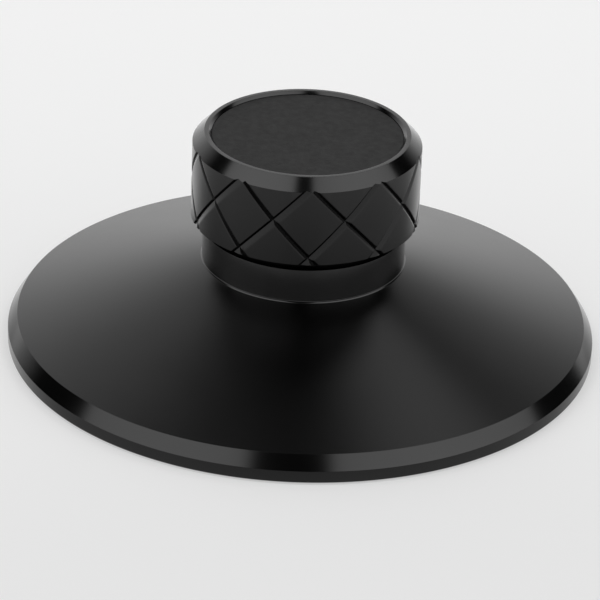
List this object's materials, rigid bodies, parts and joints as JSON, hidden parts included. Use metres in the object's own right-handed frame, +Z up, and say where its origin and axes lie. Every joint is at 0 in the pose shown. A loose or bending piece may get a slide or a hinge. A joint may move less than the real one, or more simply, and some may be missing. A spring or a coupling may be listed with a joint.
{
  "type": "record weight",
  "caption": "Turntable record weight: a shallow turned cone with a chamfered rim, a neck and a knob with crossed grooves and a recessed top inlay.",
  "frame": {"origin": "on the weight's axis, at the underside of the soft ring it stands on", "axes": "+Z up along the weight's axis, towards the knob; the front of the picture faces -Y"},
  "size_m": [0.1, 0.1, 0.0388],
  "materials": {
    "anodised_body": "satin black anodised, with polished chamfers",
    "matt_inlay": "matt, finely grained",
    "pad_felt": "dense black felt"
  },
  "bodies": {
    "root": {"body": "anodised_body", "top_inlay": "matt_inlay", "base_pad": "pad_felt"}
  },
  "joints": []
}
